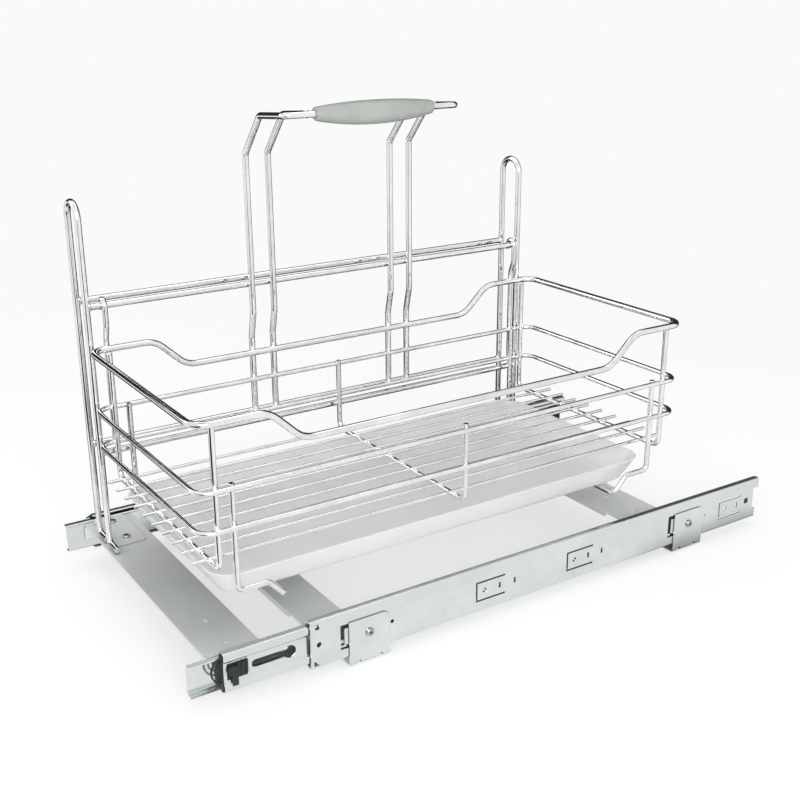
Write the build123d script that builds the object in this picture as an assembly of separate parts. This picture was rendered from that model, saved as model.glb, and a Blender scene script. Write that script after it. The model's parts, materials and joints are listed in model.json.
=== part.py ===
from build123d import *
import math
import os

# Pull-out cleaning caddy on a pair of ball slides, in millimetres.
# +X points to the open long side, -Y is the pull-out direction, +Z is up.
# The origin is on the cabinet floor, in the middle of the four floor brackets.

# Fits between pieces
weld_gap = 0.1
running_gap = 0.3
ball_gap = 0.15
screw_gap = 0.2

# Bends of folded sheet
bend_steps = 4
bend_share = 0.48

# Slides
slide_length = 550.0
slide_height = 45.0
slide_thickness = 12.7
slide_outer_x = 163.0
slide_floor_gap = 8.2
inner_member_setback = 14.0
member_sheet = 1.2
member_bend = 1.8
cabinet_depth = 9.4
cabinet_flange_flat = 5.2
cabinet_lip_drop = 2.8
cabinet_lip_step = (2.52, 0.84)
web_gap = 1.0
middle_height = 36.0
middle_flange_end = 9.9
middle_lip_drop = 0.7
channel_lip = 1.0
middle_recess = 2.2
middle_recess_height = 18.4
middle_recess_slope = 2.0
drawer_height = 28.5
drawer_flange_end = 7.6
drawer_lip_rise = 0.5
bracket_centre_offset = 24.6
middle_extension = 78.0
drawer_extension = 106.3

# Punchings in the cabinet member's web
punching_axis = -1.0
cut_excess = 1.0
tab_starts = (171.6, 280.0, 489.6)
tab_length = 33.5
tab_rise = 8.0
tab_drop = 10.5
tab_slit = 1.8
tab_hole_step = 9.8
tab_hole_diameter = 4.6
tab_slot_step = 27.4
tab_slot_length = 5.6
tab_slot_width = 2.4
second_slot_step = 45.0
hook_slit_reach = 8.0
hook_slit_width = 4.0
hook_slit_rise = 9.0
hook_slit_drop = 10.5
web_pilot_step = 23.9
web_pilot_diameter = 3.6
lug_hole_step = 6.5
lug_hole_rise = 17.0
lug_hole_width = 4.0
lug_hole_height = 5.0
front_hole_step = 7.9
front_hole_diameter = 4.6
notch_step = 5.3
notch_drop = 17.2
notch_size = 5.0
rear_notch_length = 7.5
rear_notch_height = 24.0
lower_flange_cut = 3.0

# Punchings in the middle member's web
keyhole_start = 29.0
keyhole_end = 60.5
keyhole_slot_width = 7.0
keyhole_eye_diameter = 11.5
clip_window_start = 3.4
clip_window_length = 18.4
clip_window_height = 15.0
clip_knob_diameter = 9.2
clip_knob_rise = 1.0
clip_rib_start = 8.6
clip_rib_low = -4.6
clip_rib_high = 6.8
clip_ribs = 3
clip_rib_depth = 1.6
clip_groove_depth = 2.4
clip_wall = 2.2
clip_front_gap = 0.3
clip_tab_width = 5.0
clip_tab_end = -12.6

# Black front guides and rear bumpers
guide_wall = 1.4
guide_depth = 3.3
guide_reach = 12.0
guide_arc_radii = (13.0, 9.2, 5.4)
guide_arc_setback = 2.0
guide_arc_rise = 3.6
guide_strip_length = 60.0
guide_strip_start = 5.2
guide_strip_end = 8.7
bumper_length = 6.0
bumper_lip = 1.0
bumper_width = 6.2
bumper_height = 23.0
bumper_nub = 5.6
bumper_nub_step = 18.0
bumper_tongue = 0.5
bumper_nub_depth = 0.2

# Ball cages
outer_cage_length = 190.0
outer_balls_per_row = 6
inner_cage_length = 130.0
inner_balls_per_row = 4
cage_sheet = 0.4
ball_pitch = 32.0
outer_ball_depth = 4.6
inner_ball_depth = 7.6
cage_reach = 2.0

# Floor brackets
bracket_spacing = 387.0
bracket_width = 40.4
bracket_sheet = 1.5
bracket_top = 42.5
bracket_foot = 27.0
bracket_corner = 6.0
bracket_bend = 2.0
floor_hole_diameter = 5.5
floor_hole_inset = 12.0
rib_spacing = 22.0
rib_size = 6.0
rib_width = 4.0
rib_dent = 4.2
bracket_screw_rise = -2.8
screw_head_diameter = 7.4
screw_head_height = 2.2
screw_shank_diameter = 4.0
screw_recess_width = 1.1
screw_recess_depth = 1.2
screw_recess_share = 0.55
screw_head_rounding = 0.6

# Cross plates
plate_sheet = 1.5
plate_top = 44.0
plate_tab_drop = 18.0
plate_bend = 2.0
plate_spans = {"front": (-339.0, -290.0), "middle": (-249.0, -209.0), "rear": (117.0, 168.0)}
plate_lip_drop = 5.5
plate_lip_setback = 30.0
plate_relief = 4.0
plate_hole_positions = (-135.0, -94.5, 94.5, 135.0)
plate_hole_diameter = 4.4

# Stand
stand_wire = 6.0
stand_leg_spacing = 28.0
stand_front = -334.0
stand_rear = 158.0
stand_height = 378.0
stand_run = 22.0
stand_bend = 5.0
stand_upper_bar = 282.0
stand_lower_bar = 141.0
base_sheet = 1.5
base_start = -148.0
base_end = -80.0
base_width = 32.0
base_corner = 5.0

# Basket wires
rim_wire = 6.0
ring_wire = 4.5
rib_wire = 5.0
floor_wire = 3.0
basket_far = -80.0
basket_width = 232.8
basket_length = 510.0
basket_centre = -81.6
basket_corner = 14.0
rim_high = 242.4
rim_low = 214.0
rim_slope_start = 193.0
rim_slope_end = 163.0
rim_bend = 25.0
ring_heights = {"upper": 186.4, "lower": 152.1}
rib_offset = 239.0
rib_bend = 8.0
rib_floor = 117.0
floor_wires = 10
floor_pitch = 21.4
floor_overhang = 17.0
short_upright = 4.5

# Foot frames under the basket
foot_wire = 5.0
foot_offset = 225.0
foot_run_offset = 197.0
foot_cross_offset = 182.0
foot_knee = 94.5
foot_bottom = 78.5
foot_bend = 6.0

# Hooks
hook_wire = 5.0
hook_positions = (-319.0, 149.5)
hook_tip_drop = 5.0
hook_jog_top = 264.0
hook_jog_bottom = 251.0
jog_bend = 16.0
half_round_margin = 0.01

# Handle
handle_wire = 6.0
handle_outer_offset = 91.0
handle_inner_offset = 68.0
handle_jog_top = 254.0
handle_jog_bottom = 229.0
handle_slope_start = 407.0
handle_slope_run = 34.0
handle_top = 447.6
handle_crown_rise = 3.4
handle_reach = 83.0
handle_bend = 6.0
grip_length = 123.0
grip_height = 21.5
grip_width = 25.0
grip_end_height = 12.0
grip_end_width = 14.0
grip_drop = 1.4

# Drip tray
tray_side_gap = 2.05
tray_front_gap = 14.0
tray_rear_gap = 28.0
tray_flare = 14.0
tray_height = 25.5
tray_wall = 2.4
tray_corner = 14.0

# Derived values
slide_centre = slide_floor_gap + slide_height / 2
cabinet_front = bracket_centre_offset - slide_length / 2
inner_length = slide_length - inner_member_setback
middle_front = cabinet_front - middle_extension
drawer_front = cabinet_front - drawer_extension
middle_web_depth = member_sheet + web_gap
drawer_inner_x = slide_outer_x - slide_thickness
basket_near = basket_far + basket_width
basket_middle_x = (basket_far + basket_near) / 2
stand_near_leg = basket_far - (rim_wire + stand_wire) / 2 - running_gap
stand_far_leg = stand_near_leg - stand_leg_spacing
rib_inset = (ring_wire + rib_wire) / 2 + weld_gap
floor_wire_height = rib_floor + (rib_wire + floor_wire) / 2 + weld_gap
handle_lower_x = basket_far - (rim_wire + handle_wire) / 2 - weld_gap
handle_upper_x = stand_near_leg + (stand_wire + handle_wire) / 2 + running_gap
hook_lower_x = basket_far - (rim_wire + hook_wire) / 2 - weld_gap
hook_radius = (stand_wire + hook_wire) / 2 + ball_gap
tray_mouth_width = basket_width - 2 * rib_inset - foot_wire - 2 * tray_side_gap
tray_mouth_length = basket_length - tray_front_gap - tray_rear_gap
tray_centre = basket_centre + (tray_front_gap - tray_rear_gap) / 2
tray_floor = foot_bottom + foot_wire / 2 + weld_gap
upright_foot = ring_heights["lower"] - ring_wire / 2
sides = {"right": 1, "left": -1}


def rounded(points, radius):
    """Open line with each corner replaced by points on an arc, which shrinks where its runs are short."""
    line = [points[0]]
    for before, here, after in zip(points, points[1:], points[2:]):
        come, leave = unit(before, here), unit(here, after)
        turn = math.atan2(come[0] * leave[1] - come[1] * leave[0], come[0] * leave[0] + come[1] * leave[1])
        reach = min(math.dist(before, here), math.dist(here, after)) * bend_share
        arc_radius = min(radius, reach / math.tan(abs(turn) / 2))
        tangent = arc_radius * math.tan(abs(turn) / 2)
        sign = math.copysign(1, turn)
        start = (here[0] - come[0] * tangent, here[1] - come[1] * tangent)
        centre = (start[0] - sign * come[1] * arc_radius, start[1] + sign * come[0] * arc_radius)
        for i in range(bend_steps + 1):
            angle = math.atan2(start[1] - centre[1], start[0] - centre[0]) + turn * i / bend_steps
            line.append((centre[0] + arc_radius * math.cos(angle), centre[1] + arc_radius * math.sin(angle)))
    return line + [points[-1]]


def strip_outline(points, thickness):
    """Outline of a folded sheet: the centre line moved to both sides, mitred at its folds."""
    left, right = [], []
    for i, (u, v) in enumerate(points):
        before = points[max(i - 1, 0)]
        after = points[min(i + 1, len(points) - 1)]
        here = (u, v)
        first = unit(before, here) if i > 0 else unit(here, after)
        second = unit(here, after) if i < len(points) - 1 else first
        normal = (-(first[1] + second[1]), first[0] + second[0])
        size = math.hypot(*normal)
        normal = (normal[0] / size, normal[1] / size)
        stretch = thickness / 2 / (normal[0] * -first[1] + normal[1] * first[0])
        left.append((u + normal[0] * stretch, v + normal[1] * stretch))
        right.append((u - normal[0] * stretch, v - normal[1] * stretch))
    return left + right[::-1]


def unit(start, end):
    """Unit vector from one point of a plane to another."""
    run = (end[0] - start[0], end[1] - start[1])
    length = math.hypot(*run)
    return (run[0] / length, run[1] / length)


def along_y(outline, start, length, side):
    """Solid with a section of (depth from the slide's outer face, height), drawn along Y."""
    points = [(side * (slide_outer_x - depth), slide_centre + height) for depth, height in outline]
    face = make_face(Polyline(*[(x, start, z) for x, z in points], close=True))
    return extrude(face, amount=length, dir=(0, 1, 0))


def block(low, high):
    """Box between two corners."""
    size = [abs(b - a) for a, b in zip(low, high)]
    middle = [(a + b) / 2 for a, b in zip(low, high)]
    return Pos(*middle) * Box(*size)


def web_block(side, depths, ys, heights):
    """Box in a slide's own terms: depth from its outer face, Y, and height over its centre line."""
    xs = [side * (slide_outer_x - depth) for depth in depths]
    return block((xs[0], ys[0], slide_centre + heights[0]), (xs[1], ys[1], slide_centre + heights[1]))


def web_round(side, depths, y, height, diameter):
    """Round bar across a slide's web."""
    middle = side * (slide_outer_x - (depths[0] + depths[1]) / 2)
    bar = Cylinder(diameter / 2, abs(depths[1] - depths[0]), rotation=(0, 90, 0))
    return Pos(middle, y, slide_centre + height) * bar


def wire(points, diameter, bend, closed=False):
    """Round wire along straight runs joined by bends."""
    if len(points) == 2:
        path = Line(*points)
    else:
        path = FilletPolyline(*points, radius=bend, close=closed)
    section = Plane(origin=path @ 0, z_dir=path % 0) * Circle(diameter / 2)
    return sweep(section, path=path)


def rod(start, end, diameter):
    """Straight round wire between two points."""
    return wire([start, end], diameter, 0)


def cabinet_member(side):
    """Outer channel of a slide, with the punchings of its web."""
    half = (slide_height - member_sheet) / 2
    outline = [
        (cabinet_depth, half - cabinet_lip_drop),
        (cabinet_flange_flat + cabinet_lip_step[0], half - cabinet_lip_step[1]),
        (cabinet_flange_flat, half),
        (member_sheet / 2, half),
    ]
    outline = outline + [(depth, -height) for depth, height in outline[::-1]]
    section = strip_outline(rounded(outline, member_bend), member_sheet)
    member = along_y(section, cabinet_front, slide_length, side)
    for cut in cabinet_punchings(side):
        member -= cut
    return member


def cabinet_punchings(side):
    """Everything that is punched out of the cabinet member."""
    through = (-member_sheet, middle_web_depth)
    cuts = []
    for start in tab_starts:
        front = cabinet_front + start
        back = front + tab_length
        for height in (tab_rise, -tab_drop):
            slit = (height - tab_slit / 2, height + tab_slit / 2)
            cuts.append(web_block(side, through, (front, back), slit))
        cuts.append(web_block(side, through, (front, front + tab_slit), (-tab_drop, tab_rise)))
        cuts.append(web_round(side, through, front + tab_hole_step, punching_axis, tab_hole_diameter))
        cuts.append(small_slot(side, through, front + tab_slot_step))
        if back + second_slot_step < cabinet_front + slide_length:
            cuts.append(small_slot(side, through, front + second_slot_step))
    for centre in bracket_centres():
        front = centre - bracket_width / 2 - hook_slit_reach
        back = centre - bracket_width / 2 + hook_slit_reach
        upright = (front, front + hook_slit_width)
        cuts.append(web_block(side, through, upright, (-hook_slit_drop, hook_slit_rise)))
        for height in (hook_slit_rise, -hook_slit_drop):
            near = height - hook_slit_width / 2
            cuts.append(web_block(side, through, (front, back), (near, near + hook_slit_width)))
        cuts.append(web_round(side, through, centre + web_pilot_step, punching_axis, web_pilot_diameter))
        cuts.append(web_round(side, through, centre, bracket_screw_rise, screw_shank_diameter + screw_gap))
    lug = cabinet_front + lug_hole_step
    lug_heights = (lug_hole_rise - lug_hole_height / 2, lug_hole_rise + lug_hole_height / 2)
    cuts.append(web_block(side, through, (lug - lug_hole_width / 2, lug + lug_hole_width / 2), lug_heights))
    cuts.append(web_round(side, through, cabinet_front + front_hole_step, 0, front_hole_diameter))
    corner = (cabinet_front + notch_step - notch_size / 2, -notch_drop - notch_size / 2)
    triangle = [(through[0], corner), (through[0], (corner[0], corner[1] + notch_size))]
    triangle.append((through[0], (corner[0] + notch_size, corner[1])))
    face_points = [(side * (slide_outer_x - depth), p[0], slide_centre + p[1]) for depth, p in triangle]
    notch_face = make_face(Polyline(*face_points, close=True))
    cuts.append(extrude(notch_face, amount=through[1] - through[0], dir=(-side, 0, 0)))
    end = cabinet_front + slide_length
    half_notch = rear_notch_height / 2
    rear = (end - rear_notch_length, end + cut_excess)
    cuts.append(web_block(side, through, rear, (-half_notch, half_notch)))
    lower = (-slide_height / 2 - cut_excess, -half_notch)
    flange = (-cut_excess, cabinet_depth + cut_excess)
    cuts.append(web_block(side, flange, (end - lower_flange_cut, end + cut_excess), lower))
    nub = end - bumper_nub_step
    half_nub = (bumper_nub + screw_gap) / 2
    cuts.append(web_block(side, through, (nub - half_nub, nub + half_nub), (-half_nub, half_nub)))
    return cuts


def small_slot(side, depths, start):
    """Short upright slot with square ends in a slide's web."""
    ys = (start - tab_slot_width / 2, start + tab_slot_width / 2)
    half = tab_slot_length / 2
    return web_block(side, depths, ys, (punching_axis - half, punching_axis + half))


def bracket_centres():
    """Y of the floor brackets on one slide."""
    return (-bracket_spacing / 2, bracket_spacing / 2)


def middle_member(side):
    """Middle channel of a slide, with its keyhole and the window for its clip."""
    half = (middle_height - member_sheet) / 2
    web = middle_web_depth + member_sheet / 2
    recess = middle_recess_height / 2
    outline = [
        (middle_flange_end, half - middle_lip_drop),
        (middle_flange_end - channel_lip, half),
        (web, half),
        (web, recess + middle_recess_slope),
        (web + middle_recess, recess),
    ]
    outline = outline + [(depth, -height) for depth, height in outline[::-1]]
    section = strip_outline(rounded(outline, member_bend), member_sheet)
    member = along_y(section, middle_front, inner_length, side)
    back_of_web = middle_web_depth + middle_recess + member_sheet
    through = (middle_web_depth - cut_excess, back_of_web + cut_excess)
    slot = (middle_front + keyhole_start, middle_front + keyhole_end)
    member -= web_block(side, through, slot, (-keyhole_slot_width / 2, keyhole_slot_width / 2))
    member -= web_round(side, through, slot[0], 0, keyhole_slot_width)
    member -= web_round(side, through, slot[1], 0, keyhole_eye_diameter)
    window = (middle_front + clip_window_start, middle_front + clip_window_start + clip_window_length)
    member -= web_block(side, through, window, (-clip_window_height / 2, clip_window_height / 2))
    return member


def latch_clip(side):
    """Clip in the window of the middle member: a round knob with a tab below it, and a ribbed pad."""
    front = middle_front + clip_window_start + weld_gap
    back = front + clip_window_length - 2 * weld_gap
    half = clip_window_height / 2 - weld_gap
    face = member_sheet + clip_front_gap
    base = middle_web_depth + clip_groove_depth
    clip = web_block(side, (base, base + clip_wall), (front, back), (-half, half))
    knob = front + clip_knob_diameter / 2
    clip += web_round(side, (face, base), knob, clip_knob_rise, clip_knob_diameter)
    start = front + clip_rib_start
    pitch = (back - start) / (2 * clip_ribs - 1)
    clip += web_block(side, (base - clip_rib_depth / 2, base), (start, back), (clip_rib_low, clip_rib_high))
    for i in range(clip_ribs):
        low = start + 2 * i * pitch
        ridge = (low, low + pitch)
        clip += web_block(side, (base - clip_rib_depth, base), ridge, (clip_rib_low, clip_rib_high))
    tab = (start - clip_tab_width, start)
    clip += web_block(side, (face, middle_web_depth - weld_gap), tab, (clip_tab_end, clip_knob_rise))
    return clip + web_block(side, (face, base), tab, (-half, clip_knob_rise))


def front_guide(side):
    """Black lattice of arcs ahead of the middle member, with strips that run back inside its flanges."""
    outer = middle_height / 2 - member_sheet - weld_gap
    inner = drawer_height / 2 + drawer_lip_rise + 2 * running_gap
    depths = (guide_depth, guide_depth + guide_wall)
    end = middle_front - weld_gap
    post = (end - guide_wall, end)
    guide = web_block(side, depths, post, (-outer, outer))
    window = web_block(side, depths, (end - guide_reach, end), (-outer, outer))
    centre = middle_front + guide_arc_setback
    deeper = (depths[0] - cut_excess, depths[1] + cut_excess)
    for radius in guide_arc_radii:
        ring = web_round(side, depths, centre, guide_arc_rise, 2 * radius)
        ring -= web_round(side, deeper, centre, guide_arc_rise, 2 * (radius - guide_wall))
        guide += ring & window
    back = middle_front + guide_strip_length
    for heights in ((inner, outer), (-outer, -inner)):
        guide += web_block(side, (depths[0], guide_strip_end), post, heights)
        guide += web_block(side, (guide_strip_start, guide_strip_end), (post[0], back), heights)
    return guide


def drawer_member(side):
    """Inner channel of a slide, open towards the outside."""
    half = (drawer_height - member_sheet) / 2
    web = slide_thickness - member_sheet / 2
    end = slide_thickness - drawer_flange_end
    outline = [(end, half + drawer_lip_rise), (end + channel_lip, half), (web, half)]
    outline = outline + [(depth, -height) for depth, height in outline[::-1]]
    section = strip_outline(rounded(outline, member_bend), member_sheet)
    return along_y(section, drawer_front, inner_length, side)


def rear_bumper(side):
    """Black bumper in the rear end of the cabinet member, held by a nub in its web."""
    end = cabinet_front + slide_length
    half = bumper_height / 2
    depths = (member_sheet + weld_gap, member_sheet + weld_gap + bumper_width)
    face = end - rear_notch_length + bumper_lip
    back = face - bumper_length
    bumper = web_block(side, depths, (back, face), (-half, half))
    tongue = (depths[0], depths[0] + bumper_tongue)
    half_nub = bumper_nub / 2
    nub = end - bumper_nub_step
    joined = back + bumper_tongue
    bumper += web_block(side, tongue, (nub - half_nub, joined), (-half_nub, half_nub))
    plug = (bumper_nub_depth, tongue[1])
    bumper += web_block(side, plug, (nub - half_nub, nub + half_nub), (-half_nub, half_nub))
    return bumper


def outer_rows():
    """Height and size of the balls between the cabinet and the middle member."""
    low = middle_height / 2
    high = slide_height / 2 - member_sheet
    return (low + high) / 2, high - low - 2 * ball_gap


def inner_rows():
    """Height and size of the balls between the middle and the drawer member."""
    low = drawer_height / 2
    high = middle_height / 2 - member_sheet
    return (low + high) / 2, high - low - 2 * ball_gap


def cage_strips(side, rows, depth, centre, size, outer_edge):
    """The two punched strips of a ball cage, over and under the members between them."""
    height, diameter = rows
    length, count = size
    ys = (centre - length / 2, centre + length / 2)
    depths = (outer_edge, depth + diameter / 2 + cage_reach / 2)
    half = cage_sheet / 2
    strips = []
    for sign in (1, -1):
        strip = web_block(side, depths, ys, (sign * height - half, sign * height + half))
        for x, y, z in ball_places(side, rows, depth, centre, count):
            strip -= Pos(x, y, z) * Cylinder(diameter / 2 + weld_gap, 4 * cage_sheet)
        strips.append(strip)
    return strips


def outer_cage(side, centre):
    """Ball cage between the cabinet and the middle member, its strips joined by a web."""
    rows = outer_rows()
    half = cage_sheet / 2
    joined = member_sheet + web_gap / 2
    size = (outer_cage_length, outer_balls_per_row)
    upper, lower = cage_strips(side, rows, outer_ball_depth, centre, size, joined - half)
    ys = (centre - outer_cage_length / 2, centre + outer_cage_length / 2)
    return upper + lower + web_block(side, (joined - half, joined + half), ys, (-rows[0], rows[0]))


def inner_cage(side, centre):
    """Ball cage between the middle and the drawer member: two loose strips."""
    rows = inner_rows()
    edge = inner_ball_depth - rows[1] / 2 - cage_reach / 2
    size = (inner_cage_length, inner_balls_per_row)
    return Compound(children=cage_strips(side, rows, inner_ball_depth, centre, size, edge))


def ball_places(side, rows, depth, centre, count):
    """Centres of the balls of one cage."""
    offsets = [(i - (count - 1) / 2) * ball_pitch for i in range(count)]
    x = side * (slide_outer_x - depth)
    return [(x, centre + step, slide_centre + sign * rows[0]) for sign in (1, -1) for step in offsets]


def balls(side, rows, depth, centre, count):
    """Steel balls of one cage."""
    places = ball_places(side, rows, depth, centre, count)
    return Compound(children=[Pos(*place) * Sphere(rows[1] / 2) for place in places])


def floor_bracket(side, centre):
    """Upright plate on the slide's outer face, and a foot turned inwards on the floor."""
    front = centre - bracket_width / 2
    plate_x = slide_outer_x + bracket_sheet / 2
    foot_end = slide_outer_x + bracket_sheet - bracket_foot
    foot_z = bracket_sheet / 2
    fold = [(foot_end, foot_z), (plate_x, foot_z), (plate_x, bracket_top)]
    points = [(side * x, front, z) for x, z in strip_outline(rounded(fold, bracket_bend), bracket_sheet)]
    bracket = extrude(make_face(Polyline(*points, close=True)), amount=bracket_width, dir=(0, 1, 0))
    top_edges = bracket.edges().filter_by(Axis.X).group_by(Axis.Z)[-1]
    bracket = fillet(top_edges.sort_by(Axis.Y)[-1], bracket_corner)
    for step in (-rib_spacing / 2, rib_spacing / 2):
        y = centre + step - rib_width / 2
        inner = slide_outer_x
        rib_points = [(inner, bracket_sheet), (inner - rib_size, bracket_sheet)]
        rib_points.append((inner, bracket_sheet + rib_size))
        rib_face = make_face(Polyline(*[(side * x, y, z) for x, z in rib_points], close=True))
        bracket += extrude(rib_face, amount=rib_width, dir=(0, 1, 0))
        outer = slide_outer_x + bracket_sheet
        dent_points = [(outer + cut_excess, -cut_excess), (outer - rib_dent, -cut_excess)]
        dent_points.append((outer + cut_excess, rib_dent + cut_excess))
        dent_face = make_face(Polyline(*[(side * x, y, z) for x, z in dent_points], close=True))
        bracket -= extrude(dent_face, amount=rib_width, dir=(0, 1, 0))
    hole_x = side * (slide_outer_x - floor_hole_inset)
    bracket -= Pos(hole_x, centre, 0) * Cylinder(floor_hole_diameter / 2, 8 * bracket_sheet)
    hole_size = screw_shank_diameter + screw_gap
    return bracket - web_round(side, (-2 * bracket_sheet, cut_excess), centre, bracket_screw_rise, hole_size)


def pan_head_screw(shank_length):
    """Pan-head screw with a cross recess: head above z = 0, shank below."""
    head = Pos(0, 0, screw_head_height / 2) * Cylinder(screw_head_diameter / 2, screw_head_height)
    head = fillet(head.edges().group_by(Axis.Z)[-1], screw_head_height * screw_head_rounding)
    screw = head + Pos(0, 0, -shank_length / 2) * Cylinder(screw_shank_diameter / 2, shank_length)
    arm = screw_head_diameter * screw_recess_share
    for size in ((arm, screw_recess_width), (screw_recess_width, arm)):
        screw -= Pos(0, 0, screw_head_height) * Box(*size, 2 * screw_recess_depth)
    return screw


def bracket_screws():
    """The four screws that hold the brackets on the slides."""
    shank = bracket_sheet + member_sheet
    screws = []
    for side in sides.values():
        for centre in bracket_centres():
            place = Pos(side * (slide_outer_x + bracket_sheet), centre, slide_centre + bracket_screw_rise)
            screws.append(place * (Rot(0, side * 90, 0) * pan_head_screw(shank)))
    return Compound(children=screws)


def cross_plate(span, lipped, holed):
    """Sheet across the drawer members, its ends folded down on their inner faces."""
    front, back = span
    edge = drawer_inner_x - plate_sheet / 2
    top = plate_top - plate_sheet / 2
    tab_end = plate_top - plate_tab_drop
    fold = [(edge, tab_end), (edge, top), (-edge, top), (-edge, tab_end)]
    points = [(x, front, z) for x, z in strip_outline(rounded(fold, plate_bend), plate_sheet)]
    plate = extrude(make_face(Polyline(*points, close=True)), amount=back - front, dir=(0, 1, 0))
    for sign in (1, -1):
        low = (sign * (drawer_inner_x - 2 * plate_bend), front - cut_excess, plate_top - plate_relief)
        high = (sign * (drawer_inner_x + cut_excess), front + plate_relief / 2, plate_top + cut_excess)
        plate -= block(low, high)
    if lipped:
        reach = drawer_inner_x - plate_lip_setback
        low = (-reach, front, plate_top - plate_lip_drop)
        plate += block(low, (reach, front + plate_sheet, plate_top - plate_sheet / 2))
    if holed:
        for x in plate_hole_positions:
            hole = Cylinder(plate_hole_diameter / 2, 4 * plate_sheet)
            plate -= Pos(x, (front + back) / 2, plate_top) * hole
    return plate


def stand_base(span):
    """Thin plate under a hairpin post, screwed to the cross plate."""
    middle = (span[0] + span[1]) / 2
    length = base_end - base_start
    outline = RectangleRounded(length, base_width, base_corner)
    plate = extrude(Pos((base_start + base_end) / 2, middle, plate_top) * outline, amount=base_sheet)
    for x in plate_hole_positions[:2]:
        plate -= Pos(x, middle, plate_top) * Cylinder(plate_hole_diameter / 2, 4 * base_sheet)
    return plate


def stand_screws():
    """Screws through the stand's base plates and the cross plates under them."""
    screws = []
    for name in ("front", "rear"):
        middle = sum(plate_spans[name]) / 2
        for x in plate_hole_positions[:2]:
            place = Pos(x, middle, plate_top + base_sheet)
            screws.append(place * pan_head_screw(base_sheet + 2 * plate_sheet))
    return Compound(children=screws)


def stand_post(y):
    """Hairpin of chrome wire: two legs, a round top and two short runs on the base."""
    top = stand_height - stand_wire / 2
    foot = plate_top + base_sheet + stand_wire / 2 + weld_gap
    radius = (stand_near_leg - stand_far_leg) / 2
    points = [
        (stand_far_leg + stand_run, y, foot),
        (stand_far_leg, y, foot),
        (stand_far_leg, y, top),
        (stand_near_leg, y, top),
        (stand_near_leg, y, foot),
        (stand_near_leg + stand_run, y, foot),
    ]
    bends = [stand_bend, radius - half_round_margin, radius - half_round_margin, stand_bend]
    return wire(points, stand_wire, bends)


def stand_bar(x, z):
    """Straight crossbar welded between the front and the rear post."""
    gap = stand_wire / 2 + weld_gap
    return rod((x, stand_front + gap, z), (x, stand_rear - gap, z), stand_wire)


def rectangle(z):
    """Corners of the basket's plan at one height, begun on the near side."""
    front = basket_centre - basket_length / 2
    back = basket_centre + basket_length / 2
    return [(basket_near, front, z), (basket_near, back, z), (basket_far, back, z), (basket_far, front, z)]


def rim():
    """Top wire, high over both ends and low along both sides."""
    steps = [(-rim_slope_start, rim_high), (-rim_slope_end, rim_low)]
    steps = steps + [(-y, z) for y, z in steps[::-1]]
    near = [(basket_near, basket_centre + y, z) for y, z in steps]
    far = [(basket_far, basket_centre + y, z) for y, z in steps[::-1]]
    corners = rectangle(rim_high)
    points = [corners[0], *near, corners[1], corners[2], *far, corners[3]]
    side_bends = [basket_corner] + [rim_bend] * len(steps) + [basket_corner]
    return wire(points, rim_wire, side_bends * 2, closed=True)


def ring(z):
    """Plain wire round the basket."""
    return wire(rectangle(z), ring_wire, basket_corner, closed=True)


def rib(offset, top):
    """U of wire across the basket, inside its rings and under its floor wires."""
    y = basket_centre + offset
    near = basket_near - rib_inset
    far = basket_far + rib_inset
    points = [(near, y, top), (near, y, rib_floor), (far, y, rib_floor), (far, y, top)]
    return wire(points, rib_wire, rib_bend)


def basket_floor():
    """Floor wires along the basket, on its ribs."""
    reach = rib_offset + floor_overhang
    first = basket_middle_x - (floor_wires - 1) * floor_pitch / 2
    wires = []
    for i in range(floor_wires):
        x = first + i * floor_pitch
        start = (x, basket_centre - reach, floor_wire_height)
        end = (x, basket_centre + reach, floor_wire_height)
        wires.append(rod(start, end, floor_wire))
    return Compound(children=wires)


def foot_frame(sign):
    """Wire that hangs from the rings, steps inwards and passes under the drip tray."""
    near = basket_near - rib_inset
    far = basket_far + rib_inset
    outer = basket_centre + sign * foot_offset
    run = basket_centre + sign * foot_run_offset
    cross = basket_centre + sign * foot_cross_offset
    top = ring_heights["upper"] + ring_wire / 2 + weld_gap
    half = [(near, outer, top), (near, outer, foot_knee), (near, run, foot_knee), (near, cross, foot_bottom)]
    points = half + [(far, y, z) for x, y, z in half[::-1]]
    return wire(points, foot_wire, foot_bend)


def basket_hook(y):
    """Hook over the stand's near upper bar, down behind the basket's rim and rings."""
    top = stand_upper_bar + hook_radius
    tip = (stand_near_leg - hook_radius, y, stand_upper_bar - hook_tip_drop)
    upper_x = stand_near_leg + hook_radius
    points = [
        tip,
        (stand_near_leg - hook_radius, y, top),
        (upper_x, y, top),
        (upper_x, y, hook_jog_top),
        (hook_lower_x, y, hook_jog_bottom),
        (hook_lower_x, y, upright_foot),
    ]
    bends = [hook_radius - half_round_margin, hook_radius - half_round_margin, jog_bend, jog_bend]
    return wire(points, hook_wire, bends)


def handle_upright(y, reach):
    """Points of one handle upright, from the lower ring up and over towards the bar."""
    slope_end = handle_upper_x + handle_slope_run
    return [
        (handle_lower_x, y, upright_foot),
        (handle_lower_x, y, handle_jog_bottom),
        (handle_upper_x, y, handle_jog_top),
        (handle_upper_x, y, handle_slope_start),
        (slope_end, y, handle_top - handle_crown_rise),
        (handle_upper_x + reach, y, handle_top),
    ]


def handle_bow():
    """Outer uprights and the bar, bent from one wire."""
    front = handle_upright(basket_centre - handle_outer_offset, handle_reach)
    back = handle_upright(basket_centre + handle_outer_offset, handle_reach)
    bends = [jog_bend, jog_bend, handle_bend, handle_bend]
    return wire(front + back[::-1], handle_wire, bends + [handle_bend] * 2 + bends[::-1])


def handle_strut(sign):
    """Inner upright, welded against the bar."""
    reach = handle_reach - handle_wire - weld_gap
    points = handle_upright(basket_centre + sign * handle_inner_offset, reach)
    return wire(points, handle_wire, [jog_bend, jog_bend, handle_bend, handle_bend])


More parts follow.
